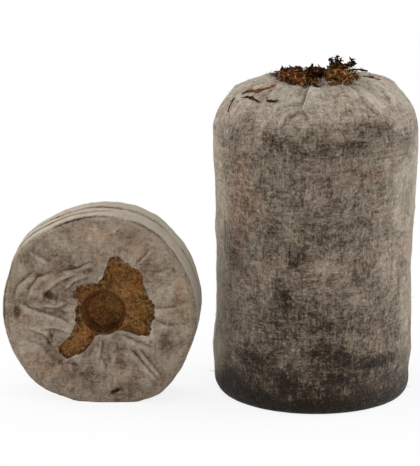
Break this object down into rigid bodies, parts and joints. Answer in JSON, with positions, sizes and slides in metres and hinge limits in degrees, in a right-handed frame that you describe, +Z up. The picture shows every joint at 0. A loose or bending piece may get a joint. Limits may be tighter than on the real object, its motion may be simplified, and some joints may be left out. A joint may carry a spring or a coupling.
{
  "type": "peat pellet",
  "caption": "Peat pellet for raising seedlings: a dry pressed puck in folded fleece beside the same kind swollen with water into a fleece-wrapped column with loose peat at its mouth.",
  "frame": {"origin": "middle of the swollen pellet's base, on the surface that it stands on", "axes": "+Z up; +X from the dry pellet towards the swollen one; the dry pellet's open face looks along -Y"},
  "size_m": [0.0899, 0.0442, 0.0725],
  "materials": {
    "damp_fleece": "thin damp non-woven fleece, stained by the peat",
    "dry_fleece": "dry non-woven fleece, pressed and creased",
    "wet_peat": "wet fibrous peat",
    "dry_peat": "pressed dry peat",
    "loose_peat": "loose crumbs and moss stems",
    "root": "reddish dry root"
  },
  "bodies": {
    "swollen_pellet": {"swollen_fleece": "damp_fleece", "peat_core": "wet_peat", "peat_clod_front_left": "loose_peat", "peat_clod_back_left": "loose_peat", "peat_clod_back": "loose_peat", "moss_tuft": "loose_peat", "peat_clod_right": "loose_peat", "peat_clod_front_right": "loose_peat", "peat_crumb_front": "loose_peat", "root_fibre": "root", "peat_flake_left": "loose_peat", "peat_flake_front_left": "loose_peat", "peat_sliver_left": "loose_peat", "peat_flake_back_right": "loose_peat", "peat_sliver_right": "loose_peat"},
    "dry_pellet": {"dry_fleece": "dry_fleece", "peat_puck": "dry_peat", "dry_peat_flake": "loose_peat"}
  },
  "joints": [
    {"name": "dry_pellet_lift", "type": "slide", "parent": "swollen_pellet", "child": "dry_pellet", "axis": [0, 0, 1], "range_m": [0, 0.09]}
  ]
}
